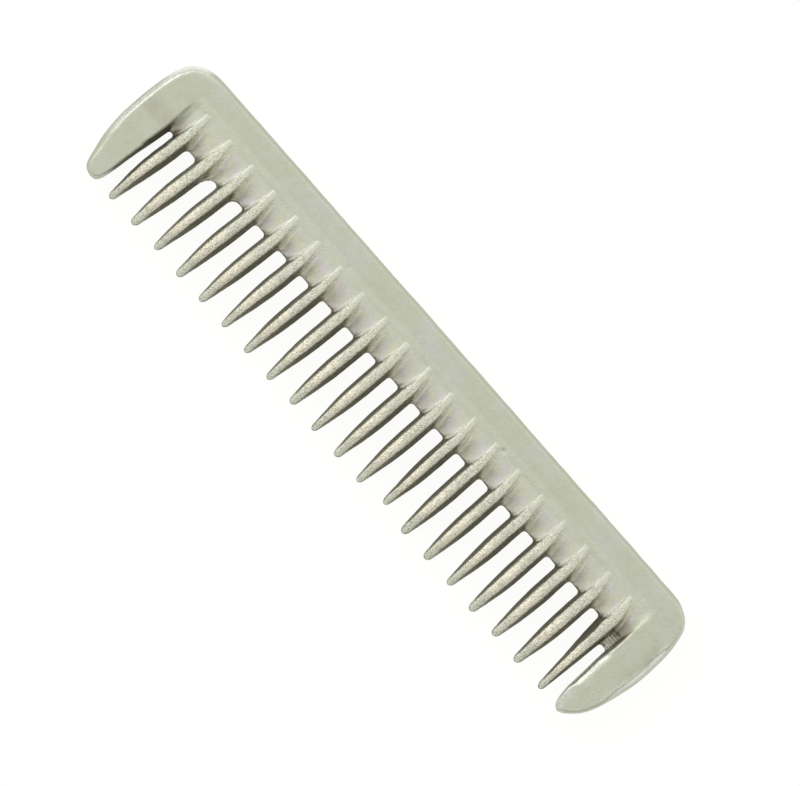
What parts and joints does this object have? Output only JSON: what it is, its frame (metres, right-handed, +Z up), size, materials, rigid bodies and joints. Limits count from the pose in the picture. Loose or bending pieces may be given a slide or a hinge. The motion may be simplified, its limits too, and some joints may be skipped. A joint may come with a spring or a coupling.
{
  "type": "mane pulling comb",
  "caption": "Cast-metal grooming comb with a straight spine, curved end guards and a row of stout tapered teeth, for pulling and thinning a mane.",
  "frame": {"origin": "under the middle of the comb, on the plane it rests on when it lies flat", "axes": "+X along the comb towards the guard beside the partly closed slot, +Y from the teeth to the straight back, +Z up through the thickness"},
  "size_m": [0.1, 0.0216, 0.0046],
  "materials": {
    "cast_aluminium": "satin"
  },
  "bodies": {
    "root": {"comb_casting": "cast_aluminium"}
  },
  "joints": []
}
